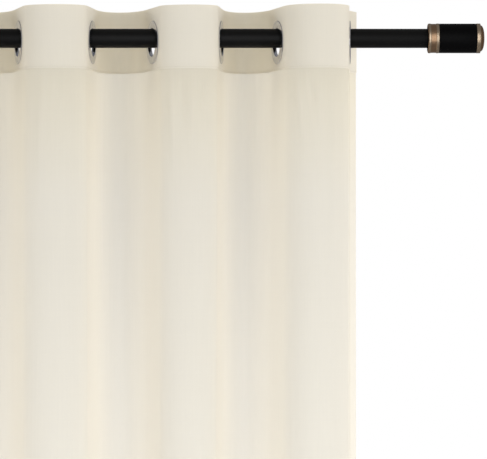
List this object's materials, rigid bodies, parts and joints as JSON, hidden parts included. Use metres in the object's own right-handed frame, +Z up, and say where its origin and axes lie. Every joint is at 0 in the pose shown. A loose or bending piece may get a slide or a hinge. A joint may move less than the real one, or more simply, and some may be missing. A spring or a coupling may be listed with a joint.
{
  "type": "sheer voile curtain and its rod",
  "caption": "Sheer voile curtain panel with a stiffened grommet heading, hanging in deep even waves from a round black rod with copper-banded end caps.",
  "frame": {"origin": "on the rod's axis, midway between the two end caps", "axes": "+X along the rod to the right as seen from the room, +Y towards the wall, +Z up"},
  "size_m": [0.9654, 0.1568, 2.1335],
  "materials": {
    "voile": "sheer ivory voile, plain weave with fine slubs",
    "heading": "doubled and stiffened ivory voile",
    "nickel": "polished nickel plate",
    "black": "satin black powder coat",
    "copper": "brushed antique copper plate"
  },
  "bodies": {
    "root": {"voile_panel": "voile", "heading": "heading", "grommet_front_1": "nickel", "grommet_back_1": "nickel", "grommet_front_2": "nickel", "grommet_back_2": "nickel", "grommet_front_3": "nickel", "grommet_back_3": "nickel", "grommet_front_4": "nickel", "grommet_back_4": "nickel", "grommet_front_5": "nickel", "grommet_back_5": "nickel", "grommet_front_6": "nickel", "grommet_back_6": "nickel", "grommet_front_7": "nickel", "grommet_back_7": "nickel", "grommet_front_8": "nickel", "grommet_back_8": "nickel", "rod": "black", "cap_collar_left": "copper", "cap_body_left": "black", "cap_band_left": "copper", "cap_tip_left": "copper", "cap_collar_right": "copper", "cap_body_right": "black", "cap_band_right": "copper", "cap_tip_right": "copper"}
  },
  "joints": []
}
